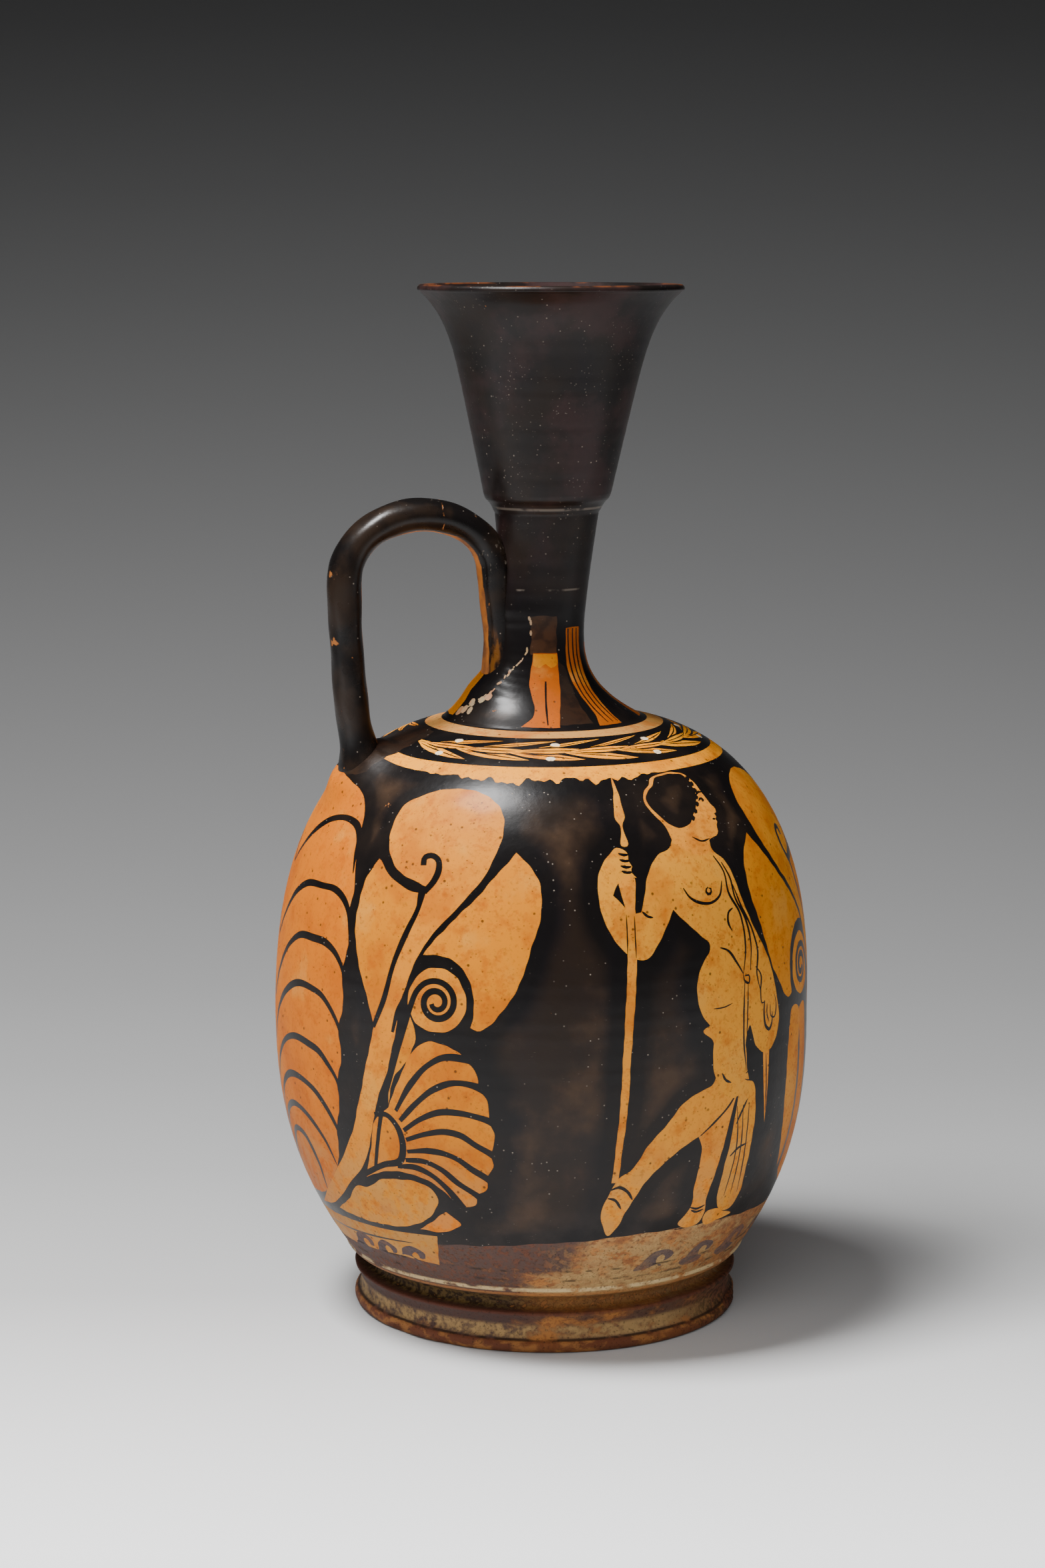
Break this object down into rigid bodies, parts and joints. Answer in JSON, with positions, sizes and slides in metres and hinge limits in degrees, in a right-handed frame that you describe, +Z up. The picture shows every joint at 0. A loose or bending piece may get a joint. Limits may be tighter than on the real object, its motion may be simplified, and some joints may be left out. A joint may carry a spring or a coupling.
{
  "type": "squat lekythos",
  "caption": "Squat oil flask of fired clay: ring foot, rounded body, narrow neck, trumpet mouth and a strap handle from neck to shoulder.",
  "frame": {"origin": "under the widest part of the body, on the surface that the foot stands on", "axes": "+Z up along the flask's axis, handle on the -X side, painted figure on the -Y side"},
  "size_m": [0.1154, 0.1154, 0.22],
  "materials": {
    "painted_clay": "black gloss slip with reserved orange clay, worn"
  },
  "bodies": {
    "root": {"lekythos": "painted_clay"}
  },
  "joints": []
}
